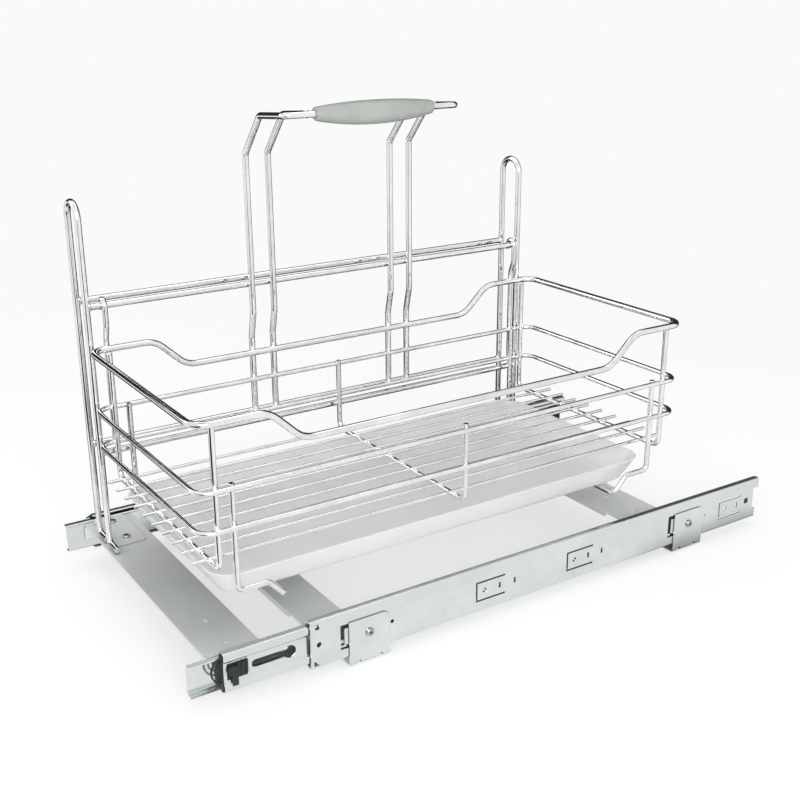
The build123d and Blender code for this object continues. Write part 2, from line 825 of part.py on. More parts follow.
def grip():
    """Bulged oval grip on the bar."""
    x = handle_upper_x + handle_reach
    stations = ((-0.5, 0.0), (-0.3, 0.66), (0.0, 1.0), (0.3, 0.66), (0.5, 0.0))
    sections = []
    for share, swell in stations:
        width = grip_end_width + (grip_width - grip_end_width) * swell
        height = grip_end_height + (grip_height - grip_end_height) * swell
        place = Plane(
            origin=(x, basket_centre + share * grip_length, handle_top - grip_drop * swell),
            x_dir=(1, 0, 0),
            z_dir=(0, -1, 0),
        )
        sections.append(place * Ellipse(width / 2, height / 2))
    body = loft(sections)
    bore = Cylinder(handle_wire / 2 + weld_gap, 2 * grip_length, rotation=(90, 0, 0))
    return body - Pos(x, basket_centre, handle_top) * bore


def drip_tray():
    """Flared open tray that rests on the cross wires of the foot frames."""
    bottom = Plane(origin=(basket_middle_x, tray_centre, tray_floor))
    top = bottom.offset(tray_height)
    width = tray_mouth_width - 2 * tray_flare
    length = tray_mouth_length - 2 * tray_flare
    outside = loft([
        bottom * RectangleRounded(width, length, tray_corner),
        top * RectangleRounded(tray_mouth_width, tray_mouth_length, tray_corner + tray_flare / 2),
    ])
    inner_base = RectangleRounded(width - 2 * tray_wall, length - 2 * tray_wall, tray_corner - tray_wall)
    mouth_corner = tray_corner + tray_flare / 2 - tray_wall
    mouth = (tray_mouth_width - 2 * tray_wall, tray_mouth_length - 2 * tray_wall)
    inner_mouth = RectangleRounded(*mouth, mouth_corner)
    inside = loft([bottom.offset(tray_wall) * inner_base, top.offset(weld_gap) * inner_mouth])
    return outside - inside


def save(shape, name):
    """Write one node."""
    export_step(shape, f"parts/{name}.step")


def save_slides():
    """Write both slides, member by member."""
    cabinet_middle = cabinet_front + slide_length / 2
    outer_cage_y = cabinet_middle - middle_extension / 2
    inner_cage_y = cabinet_front + inner_length / 2 - (middle_extension + drawer_extension) / 2
    for name, side in sides.items():
        save(cabinet_member(side), f"slide_cabinet_member_{name}")
        save(middle_member(side), f"slide_middle_member_{name}")
        save(drawer_member(side), f"slide_drawer_member_{name}")
        save(latch_clip(side), f"latch_clip_{name}")
        save(front_guide(side), f"front_guide_{name}")
        save(rear_bumper(side), f"rear_bumper_{name}")
        save(outer_cage(side, outer_cage_y), f"outer_ball_cage_{name}")
        outer_set = balls(side, outer_rows(), outer_ball_depth, outer_cage_y, outer_balls_per_row)
        save(outer_set, f"outer_balls_{name}")
        save(inner_cage(side, inner_cage_y), f"inner_ball_cage_{name}")
        inner_set = balls(side, inner_rows(), inner_ball_depth, inner_cage_y, inner_balls_per_row)
        save(inner_set, f"inner_balls_{name}")
        for place, centre in zip(("front", "rear"), bracket_centres()):
            save(floor_bracket(side, centre), f"floor_bracket_{place}_{name}")
    save(bracket_screws(), "bracket_screws")


def save_carriage():
    """Write the cross plates and the stand."""
    for name, span in plate_spans.items():
        save(cross_plate(span, name != "front", name != "middle"), f"cross_plate_{name}")
    for name, y in (("front", stand_front), ("rear", stand_rear)):
        save(stand_base(plate_spans[name]), f"stand_base_{name}")
        save(stand_post(y), f"stand_post_{name}")
    for level, z in (("upper", stand_upper_bar), ("lower", stand_lower_bar)):
        save(stand_bar(stand_near_leg, z), f"stand_bar_{level}_near")
        save(stand_bar(stand_far_leg, z), f"stand_bar_{level}_far")
    save(stand_screws(), "stand_screws")


def save_caddy():
    """Write the basket, its handle and the drip tray."""
    save(rim(), "basket_rim")
    for level, z in ring_heights.items():
        save(ring(z), f"basket_ring_{level}")
    rib_top = rim_high - rim_wire / 2 - weld_gap
    middle_top = ring_heights["upper"] + short_upright
    save(rib(-rib_offset, rib_top), "basket_rib_front")
    save(rib(0, middle_top), "basket_rib_middle")
    save(rib(rib_offset, rib_top), "basket_rib_rear")
    save(basket_floor(), "basket_floor_wires")
    for name, sign in (("front", -1), ("rear", 1)):
        save(foot_frame(sign), f"foot_frame_{name}")
        save(handle_strut(sign), f"handle_strut_{name}")
    for name, y in zip(("front", "rear"), hook_positions):
        save(basket_hook(y), f"basket_hook_{name}")
    save(handle_bow(), "handle_bow")
    save(grip(), "grip")
    save(drip_tray(), "drip_tray")


os.makedirs("parts", exist_ok=True)
save_slides()
save_carriage()
save_caddy()
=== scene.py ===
import bmesh
import bpy
import json
import math
import numpy as np
from mathutils import Matrix, Vector


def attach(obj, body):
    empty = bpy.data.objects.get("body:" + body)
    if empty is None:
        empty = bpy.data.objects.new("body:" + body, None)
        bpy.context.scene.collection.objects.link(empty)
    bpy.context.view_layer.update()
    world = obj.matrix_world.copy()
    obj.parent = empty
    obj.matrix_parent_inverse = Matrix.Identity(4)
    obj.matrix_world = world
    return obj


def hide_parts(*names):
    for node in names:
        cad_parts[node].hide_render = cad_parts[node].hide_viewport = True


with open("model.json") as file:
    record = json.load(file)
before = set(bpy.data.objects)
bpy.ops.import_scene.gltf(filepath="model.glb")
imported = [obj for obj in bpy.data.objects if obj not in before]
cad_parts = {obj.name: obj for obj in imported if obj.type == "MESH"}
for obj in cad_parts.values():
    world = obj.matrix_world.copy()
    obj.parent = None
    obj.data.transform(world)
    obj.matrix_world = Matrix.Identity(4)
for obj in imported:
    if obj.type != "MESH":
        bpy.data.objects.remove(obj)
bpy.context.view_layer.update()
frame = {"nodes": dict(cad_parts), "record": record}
mm = 0.001  # sizes below are in millimetres, the scene is in metres
record = frame["record"]
nodeBody = {node: body for body, members in record["behaviour"]["bodies"].items() for node in members}
nodeSlot = {part["node"]: part["material_slot"] for part in record["subparts"]}
print("frame loaded:", len(frame["nodes"]), "nodes")


# node helpers

def connect(tree, socket, value):  # links the socket, or gives it a plain value
    if isinstance(value, bpy.types.NodeSocket):
        tree.links.new(value, socket)
    else:
        socket.default_value = value


def add(tree, kind, inputs=None, **settings):  # one node, given its settings and then its inputs
    node = tree.nodes.new(kind)
    for key, value in settings.items():
        setattr(node, key, value)
    for key, value in (inputs or {}).items():
        connect(tree, node.inputs[key], value)
    return node


def newGroup(name, inputs, outputs):  # empty shader group; inputs are (name, kind, default)
    tree = bpy.data.node_groups.new(name, "ShaderNodeTree")
    for label, kind, default in inputs:
        socket = tree.interface.new_socket(label, in_out="INPUT", socket_type=kind)
        socket.default_value = default
    for label, kind in outputs:
        tree.interface.new_socket(label, in_out="OUTPUT", socket_type=kind)
    return tree, add(tree, "NodeGroupInput").outputs, add(tree, "NodeGroupOutput").inputs


def fill(tree, source, inputs):  # one use of a shared effect with its own values
    return add(tree, "ShaderNodeGroup", inputs, node_tree=source).outputs


def calculate(tree, operation, first, second):
    return add(tree, "ShaderNodeMath", {0: first, 1: second}, operation=operation).outputs[0]


def scaled(tree, vector, stretch):  # the vector, stretched along its axes
    return add(tree, "ShaderNodeVectorMath", {0: vector, 1: stretch}, operation="MULTIPLY").outputs[0]


def dotted(tree, vector, direction):  # how far the vector reaches in a direction
    node = add(tree, "ShaderNodeVectorMath", {0: vector, 1: direction}, operation="DOT_PRODUCT")
    return node.outputs["Value"]


def noise(tree, vector, scale, detail, **more):
    inputs = {"Vector": vector, "Scale": scale, "Detail": detail, **more}
    return add(tree, "ShaderNodeTexNoise", inputs).outputs[0]


def remap(tree, value, low, high, toLow=0.0, toHigh=1.0):  # straight-line change of range, clamped
    inputs = {"Value": value, "From Min": low, "From Max": high, "To Min": toLow, "To Max": toHigh}
    return add(tree, "ShaderNodeMapRange", inputs).outputs[0]


def mixColor(tree, share, first, second):
    return add(tree, "ShaderNodeMix", {0: share, 6: first, 7: second}, data_type="RGBA").outputs[2]


def mixValue(tree, share, first, second):
    return add(tree, "ShaderNodeMix", {0: share, 2: first, 3: second}, data_type="FLOAT").outputs[0]


def rgb(red, green, blue):
    return (red, green, blue, 1.0)


# shared effects

vectorKind, floatKind, colorKind = "NodeSocketVector", "NodeSocketFloat", "NodeSocketColor"
clouds = {
    "soft": (0.34, 0.66), "softDetail": 4.0, "softRoughness": 0.55,
    "fine": (0.36, 0.64), "fineDetail": 3.0, "fineness": 9.0,
}
grainLines = {"detail": 2.0, "line": (0.3, 0.7), "patch": (0.35, 0.65), "faintest": 0.35}
marks = {
    "smudge": (0.45, 0.7), "detail": 5.0, "distortion": 0.6,
    "scuffStretch": (90, 35, 140), "scuffWidth": 0.012,
}
skinDetail = {"grain": 2.0, "wave": 1.0}


def makeCloudedTone():  # two tones mixed by soft clouds with a finer mottle over them
    c = clouds
    tree, given, out = newGroup("cloudedTone", [
        ("Vector", vectorKind, (0, 0, 0)), ("Size", floatKind, 30.0), ("Mottle", floatKind, 0.3),
        ("Dark", colorKind, rgb(0.5, 0.5, 0.5)), ("Light", colorKind, rgb(0.7, 0.7, 0.7)),
    ], [("Color", colorKind)])
    soft = noise(tree, given["Vector"], given["Size"], c["softDetail"], Roughness=c["softRoughness"])
    fineSize = calculate(tree, "MULTIPLY", given["Size"], c["fineness"])
    fine = noise(tree, given["Vector"], fineSize, c["fineDetail"])
    blend = mixValue(tree, given["Mottle"], remap(tree, soft, *c["soft"]), remap(tree, fine, *c["fine"]))
    tree.links.new(mixColor(tree, blend, given["Dark"], given["Light"]), out["Color"])
    return tree


def makeRolledGrain():  # fine parallel lines, broken up along their length
    g = grainLines
    tree, given, out = newGroup("rolledGrain", [
        ("Vector", vectorKind, (0, 0, 0)), ("Stretch", vectorKind, (2500, 40, 2500)),
        ("Break", floatKind, 25.0),
    ], [("Lines", floatKind), ("Height", floatKind)])
    lines = noise(tree, scaled(tree, given["Vector"], given["Stretch"]), 1.0, g["detail"])
    patches = noise(tree, given["Vector"], given["Break"], g["detail"])
    share = remap(tree, patches, *g["patch"], g["faintest"], 1.0)
    value = remap(tree, lines, *g["line"])
    tree.links.new(calculate(tree, "MULTIPLY", value, share), out["Lines"])
    tree.links.new(value, out["Height"])
    return tree


def makeHandling():  # smudges left by handling, and thin crossing scuffs, as a mask
    m = marks
    tree, given, out = newGroup("handling", [
        ("Vector", vectorKind, (0, 0, 0)), ("Size", floatKind, 18.0), ("Scuffs", floatKind, 0.4),
    ], [("Mask", floatKind)])
    smudge = noise(tree, given["Vector"], given["Size"], m["detail"], Distortion=m["distortion"])
    cells = {"Vector": scaled(tree, given["Vector"], m["scuffStretch"]), "Scale": 1.0}
    thin = add(tree, "ShaderNodeTexVoronoi", cells, feature="DISTANCE_TO_EDGE").outputs[0]
    scuff = remap(tree, thin, 0.0, m["scuffWidth"], 1.0, 0.0)
    scuffShare = calculate(tree, "MULTIPLY", scuff, given["Scuffs"])
    tree.links.new(calculate(tree, "MAXIMUM", remap(tree, smudge, *m["smudge"]), scuffShare), out["Mask"])
    return tree


def makeMouldedSkin():  # a fine skin over slow unevenness, as a height
    tree, given, out = newGroup("mouldedSkin", [
        ("Vector", vectorKind, (0, 0, 0)), ("Grain", floatKind, 2600.0), ("Wave", floatKind, 90.0),
    ], [("Height", floatKind)])
    grain = noise(tree, given["Vector"], given["Grain"], skinDetail["grain"])
    wave = noise(tree, given["Vector"], given["Wave"], skinDetail["wave"])
    tree.links.new(calculate(tree, "ADD", grain, wave), out["Height"])
    return tree


cloudedTone, rolledGrain = makeCloudedTone(), makeRolledGrain()
handling, mouldedSkin = makeHandling(), makeMouldedSkin()
print("shared effects made")


# materials: places and reaches are in metres and noise sizes per metre, as Object coordinates are;
# the depths of bumps and the reach of the painted crease shade are in millimetres

def newLook(name, **plain):  # a material with its shader's plain values set on the shader itself
    look = bpy.data.materials.new(name)
    look.use_nodes = True
    tree = look.node_tree
    tree.nodes.clear()
    inputs = {key.replace("_", " "): value for key, value in plain.items()}
    shader = add(tree, "ShaderNodeBsdfPrincipled", inputs)
    end = add(tree, "ShaderNodeOutputMaterial")
    tree.links.new(shader.outputs[0], end.inputs[0])
    where = add(tree, "ShaderNodeTexCoord").outputs["Object"]
    return look, tree, shader, where


def cloudedColor(tree, where, values):
    keys = {"Size": "cloud", "Mottle": "mottle", "Dark": "dark", "Light": "light"}
    inputs = {label: values[key] for label, key in keys.items()}
    return fill(tree, cloudedTone, {"Vector": where, **inputs})["Color"]


def handledRoughness(tree, where, values):  # from smooth to hazy where hands have left marks
    inputs = {"Vector": where, "Size": values["smudge"], "Scuffs": values["scuffs"]}
    return remap(tree, fill(tree, handling, inputs)["Mask"], 0.0, 1.0, values["smooth"], values["hazy"])


def bump(tree, shader, height, values):
    inputs = {"Height": height, "Strength": values["bump"], "Distance": values["depth"] * mm}
    tree.links.new(add(tree, "ShaderNodeBump", inputs).outputs[0], shader.inputs["Normal"])


def makeCoated(name, values, **plain):  # wire, balls and plastics: a clouded tone and a fine skin
    look, tree, shader, where = newLook(name, **plain)
    tree.links.new(cloudedColor(tree, where, values), shader.inputs["Base Color"])
    tree.links.new(handledRoughness(tree, where, values), shader.inputs["Roughness"])
    skin = fill(tree, mouldedSkin, {"Vector": where, "Grain": values["grain"], "Wave": values["wave"]})
    bump(tree, shader, skin["Height"], values)
    return look


def makeSheetSteel(name, values, **plain):  # rolled steel with grain lines, and painted shade darkening its bends, slits and gaps between parts
    look, tree, shader, where = newLook(name, **plain)
    grain = fill(tree, rolledGrain, {"Vector": where, "Stretch": values["stretch"], "Break": values["break"]})
    lineShare = remap(tree, grain["Lines"], 0.0, 1.0, 0.0, values["lineShare"])
    tone = mixColor(tree, lineShare, cloudedColor(tree, where, values), values["lineTone"])
    if "shadeTone" in values:  # painted shade, darker round one place
        places = {0: where, 1: values["shadeCentre"]}
        away = add(tree, "ShaderNodeVectorMath", places, operation="DISTANCE").outputs["Value"]
        shade = remap(tree, away, *values["shadeReach"], values["shadeShare"], 0.0)
        tone = mixColor(tree, shade, tone, values["shadeTone"])
    # painted shade: ambient occlusion darkens the base colour in each crease, slit and gap between parts
    reach = {"Distance": paintedCreaseShade["reach"] * mm}
    near = add(tree, "ShaderNodeAmbientOcclusion", reach, samples=paintedCreaseShade["samples"]).outputs["AO"]
    crease = remap(tree, near, *paintedCreaseShade["range"], paintedCreaseShade["share"], 0.0)
    tree.links.new(mixColor(tree, crease, tone, paintedCreaseShade["tone"]), shader.inputs["Base Color"])
    tree.links.new(handledRoughness(tree, where, values), shader.inputs["Roughness"])
    bump(tree, shader, grain["Height"], values)
    return look


# painted shade for crease lines and gaps: how far ambient occlusion looks, and the dark tone mixed into the
# colour
paintedCreaseShade = {"reach": 3.0, "samples": 6, "range": (0.35, 0.85), "share": 0.85, "tone": rgb(0.10, 0.105, 0.105)}
chrome = makeCoated("brightChrome", {
    "dark": rgb(0.68, 0.69, 0.71), "light": rgb(0.88, 0.89, 0.90), "cloud": 30.0, "mottle": 0.25,
    "smudge": 40.0, "scuffs": 0.3, "smooth": 0.02, "hazy": 0.06,
    "grain": 120.0, "wave": 40.0, "bump": 0.06, "depth": 0.03,
}, Metallic=1.0)
ballSteel = makeCoated("polishedBalls", {
    "dark": rgb(0.55, 0.56, 0.57), "light": rgb(0.75, 0.76, 0.77), "cloud": 200.0, "mottle": 0.25,
    "smudge": 200.0, "scuffs": 0.3, "smooth": 0.08, "hazy": 0.2,
    "grain": 900.0, "wave": 200.0, "bump": 0.05, "depth": 0.02,
}, Metallic=1.0)
zinc = makeSheetSteel("brightZinc", {
    "dark": rgb(0.61, 0.65, 0.645), "light": rgb(0.73, 0.77, 0.765), "cloud": 14.0, "mottle": 0.12,
    "lineTone": rgb(0.50, 0.54, 0.54), "stretch": (2200, 22, 2200), "break": 30.0, "lineShare": 0.25,
    "smudge": 26.0, "scuffs": 0.2, "smooth": 0.13, "hazy": 0.24, "bump": 0.12, "depth": 0.03,
}, Metallic=0.92)
screwSteel = makeSheetSteel("screwZinc", {
    "dark": rgb(0.36, 0.37, 0.37), "light": rgb(0.55, 0.56, 0.56), "cloud": 120.0, "mottle": 0.2,
    "lineTone": rgb(0.3, 0.31, 0.31), "stretch": (900, 900, 900), "break": 300.0, "lineShare": 0.3,
    "smudge": 200.0, "scuffs": 0.2, "smooth": 0.18, "hazy": 0.3, "bump": 0.1, "depth": 0.02,
}, Metallic=0.9)
plateSteel = makeSheetSteel("satinPlate", {
    "dark": rgb(0.62, 0.635, 0.64), "light": rgb(0.72, 0.735, 0.74), "cloud": 9.0, "mottle": 0.12,
    # painted shade: the plates' base colour darkens round shadeCentre, near the front plate's near end
    "shadeCentre": (0.06, -0.32, 0.02), "shadeReach": (0.05, 0.18), "shadeShare": 0.8,
    "shadeTone": rgb(0.32, 0.33, 0.335),
    "lineTone": rgb(0.52, 0.535, 0.54), "stretch": (30, 1800, 1800), "break": 18.0, "lineShare": 0.2,
    "smudge": 14.0, "scuffs": 0.2, "smooth": 0.34, "hazy": 0.5, "bump": 0.2, "depth": 0.05,
}, Metallic=0.15)
blackPlastic = makeCoated("blackMoulding", {
    "dark": rgb(0.012, 0.012, 0.013), "light": rgb(0.03, 0.03, 0.032), "cloud": 60.0, "mottle": 0.2,
    "smudge": 60.0, "scuffs": 0.5, "smooth": 0.38, "hazy": 0.6,
    "grain": 2600.0, "wave": 150.0, "bump": 0.3, "depth": 0.06,
}, IOR=1.35)
gripPlastic = makeCoated("gripMoulding", {
    "dark": rgb(0.29, 0.311, 0.288), "light": rgb(0.342, 0.365, 0.338), "cloud": 25.0, "mottle": 0.2,
    "smudge": 30.0, "scuffs": 0.25, "smooth": 0.31, "hazy": 0.42,
    "grain": 2200.0, "wave": 60.0, "bump": 0.25, "depth": 0.05,
})
trayPlastic = makeCoated("frostedTray", {
    "dark": rgb(0.90, 0.91, 0.92), "light": rgb(0.96, 0.965, 0.97), "cloud": 16.0, "mottle": 0.2,
    "smudge": 12.0, "scuffs": 0.3, "smooth": 0.34, "hazy": 0.5,
    "grain": 1500.0, "wave": 45.0, "bump": 0.3, "depth": 0.08,
}, Transmission_Weight=0.3, IOR=1.49, Subsurface_Weight=0.6, Subsurface_Scale=0.02,
    Subsurface_Radius=(1, 1, 1))
looks = {
    "zinc": zinc, "chrome": chrome, "plate_steel": plateSteel, "black_plastic": blackPlastic,
    "ball_steel": ballSteel, "grip_plastic": gripPlastic, "tray_plastic": trayPlastic,
}
print("materials made:", ", ".join(sorted(look.name for look in looks.values())))


# mesh helpers

def putPiece(name, parts, slot, body, standsFor=(), crease=40.0):
    # parts are (points, faces) pairs, joined into one mesh
    starts = np.cumsum([0] + [len(points) for points, faces in parts]).tolist()
    points = np.concatenate([points for points, faces in parts])
    faces = [tuple(corner + start for corner in face)
             for (own, block), start in zip(parts, starts) for face in block]
    mesh = bpy.data.meshes.new(name)
    mesh.from_pydata((points * mm).tolist(), [], faces)
    mesh.update()
    return finishPiece(bpy.data.objects.new(name, mesh), slot, body, standsFor, crease)


def finishPiece(piece, slot, body, standsFor, crease):  # shading, the material of its slot's look, and body
    piece.data.shade_smooth()
    piece.data.set_sharp_from_angle(angle=math.radians(crease))
    piece.data.materials.clear()
    piece.data.materials.append(looks[slot])
    bpy.context.scene.collection.objects.link(piece)
    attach(piece, body)
    if standsFor:
        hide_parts(*standsFor)
    return piece


def gridFaces(rows, columns, wrapRows=False, wrapColumns=False):  # quads between neighbours on a grid
    down, across = np.indices((rows - (not wrapRows), columns - (not wrapColumns)))
    here, below, right = down * columns, (down + 1) % rows * columns, (across + 1) % columns
    return np.stack([here + across, here + right, below + right, below + across], -1).reshape(-1, 4)


def unit(vectors):
    return vectors / np.linalg.norm(vectors, axis=-1, keepdims=True)


def bentPath(corners, bends=(), closed=False, spacing=5.0, arcStep=9.0):
    # straight runs joined by arcs tangent to both: an arc of radius r starts r * tan(turn / 2) before its
    # corner, and its points are start + r * (sin a * come + (1 - cos a) * inward); the runs are then
    # divided evenly
    corners = np.asarray(corners, float)
    lines = [] if closed else [corners[:1]]
    bent = range(len(corners)) if closed else range(1, len(corners) - 1)
    for place, bend in zip(bent, bends):
        come = unit(corners[place] - corners[place - 1])
        leave = unit(corners[(place + 1) % len(corners)] - corners[place])
        turn = math.acos(np.clip(come @ leave, -1, 1))
        inward = unit(leave - come * (come @ leave))
        angle = np.linspace(0, turn, max(3, math.ceil(math.degrees(turn) / arcStep) + 1))[:, None]
        start = corners[place] - come * bend * math.tan(turn / 2)
        lines.append(start + bend * (np.sin(angle) * come + (1 - np.cos(angle)) * inward))
    line = np.concatenate(lines + ([lines[0][:1]] if closed else [corners[-1:]]))
    gaps = np.linalg.norm(np.diff(line, axis=0), axis=1)
    line, gaps = line[np.r_[True, gaps > 1e-6]], gaps[gaps > 1e-6]
    steps = np.maximum(1, np.ceil(gaps / spacing)).astype(int)
    run = np.repeat(np.arange(len(gaps)), steps)
    share = (np.arange(len(run)) - np.repeat(np.cumsum(steps) - steps, steps)) / steps[run]
    path = line[run] + (line[run + 1] - line[run]) * share[:, None]
    return path if closed else np.vstack([path, line[-1:]])


sideways = np.array([-0.5, 0.6, 0.62])  # where a circle starts; no wire runs this way


def tube(path, thickness, closed=False, sides=20, endCut=0.4):
    # every point of the path carries a circle square to it: centre + r * (cos t * side + sin t * rise);
    # open ends are drawn in over the last endCut and closed flat
    radius = thickness / 2
    if not closed:
        first, last = unit(path[1] - path[0]), unit(path[-1] - path[-2])
        cuts = path[:1] + first * endCut, path[-1:] - last * endCut
        path = np.vstack([path[:1], cuts[0], path[1:-1], cuts[1], path[-1:]])
    size = np.full(len(path), radius)
    ahead = unit(np.roll(path, -1, axis=0) - path)
    behind = np.roll(ahead, 1, axis=0)
    if not closed:
        size[[0, -1]] = radius - endCut
        ahead[-1], behind[0] = ahead[-2], ahead[0]
    along = unit(ahead + behind)
    side = unit(sideways - (along @ sideways)[:, None] * along)
    rise = np.cross(along, side)
    turn = np.linspace(0, 2 * np.pi, sides, endpoint=False)[None, :, None]
    circle = np.cos(turn) * side[:, None] + np.sin(turn) * rise[:, None]
    points = path[:, None] + size[:, None, None] * circle
    faces = gridFaces(len(path), sides, closed, True).tolist()
    if not closed:
        faces.append(list(range(sides))[::-1])
        faces.append(list(range((len(path) - 1) * sides, len(path) * sides)))
    return points.reshape(-1, 3), faces


def beads(centres, firsts, seconds, sizes, rows=8, columns=12):
    # an ellipsoid at each place: centre + x * first + y * second + z * (first x second), where
    # (x, y, z) = half sizes * (sin lean * cos turn, sin lean * sin turn, cos lean)
    given = (centres, firsts, seconds, sizes)
    centres, firsts, seconds, sizes = (np.asarray(values, float) for values in given)
    leans = np.linspace(0, np.pi, rows + 1)[1:-1]
    turns = np.linspace(0, 2 * np.pi, columns, endpoint=False)
    lean, turn = np.meshgrid(leans, turns, indexing="ij")
    shell = np.stack([np.sin(lean) * np.cos(turn), np.sin(lean) * np.sin(turn), np.cos(lean)], -1)
    shell = np.vstack([shell.reshape(-1, 3), [[0, 0, 1], [0, 0, -1]]])
    axes = np.stack([firsts, seconds, np.cross(firsts, seconds)], 1) * sizes[:, :, None]
    points = centres[:, None] + np.einsum("pk,bkx->bpx", shell, axes)
    ring = np.arange(columns)
    body = gridFaces(rows - 1, columns, False, True)[:, ::-1]
    top = np.stack([np.full(columns, len(shell) - 2), ring, (ring + 1) % columns], -1)
    low = (rows - 2) * columns
    bottom = np.stack([np.full(columns, len(shell) - 1), low + (ring + 1) % columns, low + ring], -1)
    one = body.tolist() + top.tolist() + bottom.tolist()
    firstPoints = range(0, len(centres) * len(shell), len(shell))
    faces = [[corner + first for corner in face] for first in firstPoints for face in one]
    return points.reshape(-1, 3), faces


dressing = {"merge": 0.002, "flat": 0.4, "crease": 30.0, "bevelFrom": 35.0, "segments": 2}


def dressNode(node, bevel):
    # a CAD node's own triangles, merged and with flat areas joined, given small rounded edges
    d = dressing
    piece = bpy.data.objects.new(node + "_dressed", frame["nodes"][node].data.copy())
    work = bmesh.new()
    work.from_mesh(piece.data)
    bmesh.ops.remove_doubles(work, verts=work.verts, dist=d["merge"] * mm)
    bmesh.ops.dissolve_limit(work, angle_limit=math.radians(d["flat"]), verts=work.verts, edges=work.edges)
    work.to_mesh(piece.data)
    work.free()
    finishPiece(piece, nodeSlot[node], nodeBody[node], (node,), d["crease"])
    if bevel:
        edge = piece.modifiers.new("edge", "BEVEL")
        edge.width = bevel * mm
        edge.segments = d["segments"]
        edge.limit_method = "ANGLE"
        edge.angle_limit = math.radians(d["bevelFrom"])
        edge.miter_outer = "MITER_ARC"
        even = piece.modifiers.new("even", "WEIGHTED_NORMAL")
        even.keep_sharp = True
    return piece


print("helpers ready")


# stand: two hairpin posts and four bars

stand = {
    "wire": 6.0, "nearLeg": -86.3, "farLeg": -114.3, "front": -334.0, "rear": 158.0,
    "top": 375.0, "foot": 48.6, "run": 22.0, "footBend": 5.0, "topBend": 13.99,
    "upperBar": 282.0, "lowerBar": 141.0, "barClear": 0.1, "bead": (3.9, 3.9, 1.3),
}


def standPost(y):
    s = stand
    ends = [(s[leg] + s["run"], y, s["foot"]) for leg in ("farLeg", "nearLeg")]
    corners = (("farLeg", "foot"), ("farLeg", "top"), ("nearLeg", "top"), ("nearLeg", "foot"))
    legs = [(s[leg], y, s[level]) for leg, level in corners]
    bends = (s["footBend"], s["topBend"], s["topBend"], s["footBend"])
    return tube(bentPath([ends[0], *legs, ends[1]], bends), s["wire"])


def barEnds():  # where the crossbars stop, short of the posts' middles
    gap = stand["wire"] / 2 + stand["barClear"]
    return stand["front"] + gap, stand["rear"] - gap


for end in ("front", "rear"):
    putPiece(f"standPost_{end}", [standPost(stand[end])], "chrome", "carriage", (f"stand_post_{end}",))
for level in ("upper", "lower"):
    for reach in ("near", "far"):
        path = bentPath([(stand[reach + "Leg"], y, stand[level + "Bar"]) for y in barEnds()])
        bar = tube(path, stand["wire"])
        putPiece(f"standBar_{level}_{reach}", [bar], "chrome", "carriage", (f"stand_bar_{level}_{reach}",))

spots = [(stand[leg], y, stand[bar]) for leg in ("nearLeg", "farLeg")
         for bar in ("upperBar", "lowerBar") for y in barEnds()]
count = len(spots)
postBeads = beads(spots, [(1, 0, 0)] * count, [(0, 0, 1)] * count, [stand["bead"]] * count)
putPiece("standWelds", [postBeads], "chrome", "carriage")
print("stand made")


# basket wires

basket = {
    "far": -80.0, "near": 152.8, "front": -336.6, "rear": 173.4, "centre": -81.6, "corner": 14.0,
    "rimWire": 6.0, "rimHigh": 242.4, "rimLow": 214.0, "slopeStart": 193.0, "slopeEnd": 163.0,
    "rimBend": 25.0, "rimSides": 24, "ringWire": 4.5, "upperRing": 186.4, "lowerRing": 152.1,
    "ribWire": 5.0, "ribNear": 147.95, "ribFar": -75.15, "ribOffset": 239.0, "ribBend": 8.0,
    "ribFloor": 117.0, "ribTop": 239.3, "shortTop": 190.9, "floorWire": 3.0, "floorSides": 14,
    "floorCount": 10, "floorPitch": 21.4, "floorHeight": 121.1, "floorReach": 256.0,
}
foot = {
    "wire": 5.0, "offset": 225.0, "run": 197.0, "cross": 182.0,
    "knee": 94.5, "bottom": 78.5, "bend": 6.0, "top": 188.75,
}
hook = {
    "wire": 5.0, "front": -319.0, "rear": 149.5, "tip": 277.0, "top": 287.65, "jogTop": 264.0,
    "jogBottom": 251.0, "foot": 149.85, "tipX": -91.95, "upperX": -80.65, "lowerX": -85.6,
    "bend": 5.64, "jogBend": 16.0,
}


def plan(z):  # corners of the basket's plan
    corners = (("near", "front"), ("near", "rear"), ("far", "rear"), ("far", "front"))
    return [(basket[x], basket[y], z) for x, y in corners]


def rimPath():
    b = basket
    down = [(-b["slopeStart"], b["rimHigh"]), (-b["slopeEnd"], b["rimLow"])]
    steps = down + [(-y, z) for y, z in down[::-1]]
    near = [(b["near"], b["centre"] + y, z) for y, z in steps]
    far = [(b["far"], b["centre"] + y, z) for y, z in steps[::-1]]
    corners = plan(b["rimHigh"])
    bends = ([b["corner"]] + [b["rimBend"]] * 4 + [b["corner"]]) * 2
    return bentPath([corners[0], *near, corners[1], corners[2], *far, corners[3]], bends, closed=True)


def ribPath(offset, top):
    b = basket
    y = b["centre"] + offset
    near, far = ([(b[side], y, top), (b[side], y, b["ribFloor"])] for side in ("ribNear", "ribFar"))
    return bentPath(near + far[::-1], [b["ribBend"]] * 2)


def footPath(sign):
    f, b = foot, basket
    ys = [b["centre"] + sign * f[key] for key in ("offset", "offset", "run", "cross")]
    half = list(zip([b["ribNear"]] * 4, ys, (f["top"], f["knee"], f["knee"], f["bottom"])))
    return bentPath(half + [(b["ribFar"], y, z) for x, y, z in half[::-1]], [f["bend"]] * 6)


def hookPath(y):
    h = hook
    corners = (("tipX", "tip"), ("tipX", "top"), ("upperX", "top"), ("upperX", "jogTop"),
               ("lowerX", "jogBottom"), ("lowerX", "foot"))
    bends = (h["bend"], h["bend"], h["jogBend"], h["jogBend"])
    return bentPath([(h[x], y, h[z]) for x, z in corners], bends)


